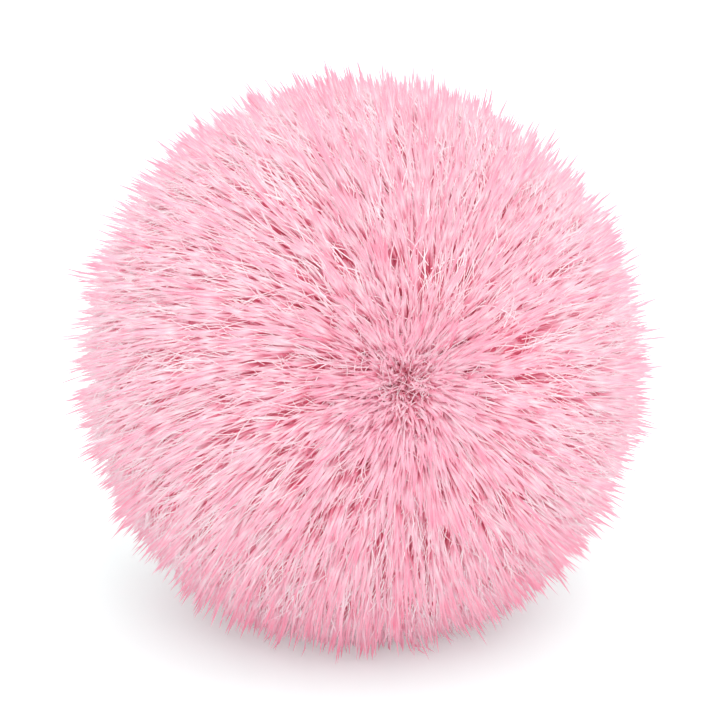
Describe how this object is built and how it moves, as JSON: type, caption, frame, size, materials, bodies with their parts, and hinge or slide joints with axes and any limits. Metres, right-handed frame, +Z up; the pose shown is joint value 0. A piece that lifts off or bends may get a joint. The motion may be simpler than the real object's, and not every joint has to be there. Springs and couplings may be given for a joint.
{
  "type": "pom pom",
  "caption": "Fluffy round ball of long soft pile, pink faux fur, resting on a small flat spot.",
  "frame": {"origin": "middle of the flat spot under the ball, on the surface that it rests on", "axes": "+Z up out of the resting surface; the crown where the pile parts faces -Y, a little above level"},
  "size_m": [0.1106, 0.1098, 0.1042],
  "materials": {
    "fur": "long fine faux-fur pile, soft pale pink with deeper pink gaps between its locks"
  },
  "bodies": {
    "root": {"fur_ball": "fur"}
  },
  "joints": []
}
